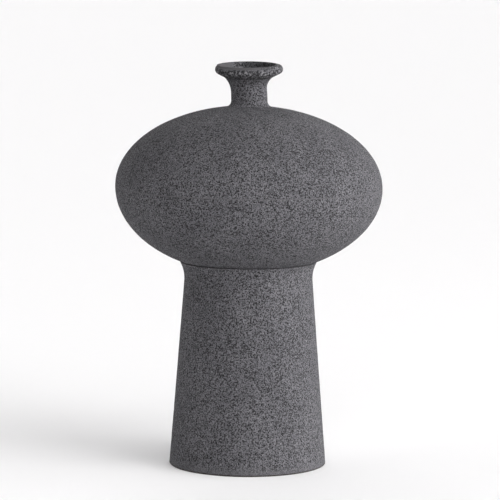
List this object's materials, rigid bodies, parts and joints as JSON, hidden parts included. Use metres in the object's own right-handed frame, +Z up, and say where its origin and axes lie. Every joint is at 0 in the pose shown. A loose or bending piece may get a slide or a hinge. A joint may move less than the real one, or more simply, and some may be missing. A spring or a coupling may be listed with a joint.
{
  "type": "stoneware vase",
  "caption": "Tall hollow stoneware vase: tapering drum pedestal, wide flattened-globe body and narrow trumpet neck with a rolled lip, in a dry speckled grey.",
  "frame": {"origin": "centre of the foot, on the surface that the vase stands on", "axes": "+Z up along the pedestal's axis, -Y to the front, which the neck leans towards, +X to the right seen from the front"},
  "size_m": [0.2666, 0.2666, 0.4026],
  "materials": {
    "stoneware": "dry matt, gritty, dark speckles",
    "bare_clay": "smooth bare fired clay"
  },
  "bodies": {
    "root": {"pedestal": "stoneware", "lower_bowl": "stoneware", "upper_bowl": "stoneware", "neck": "stoneware", "rim": "stoneware", "floor_slab": "bare_clay", "floor_coil": "bare_clay", "seat_coil": "bare_clay", "belly_band": "bare_clay"}
  },
  "joints": []
}
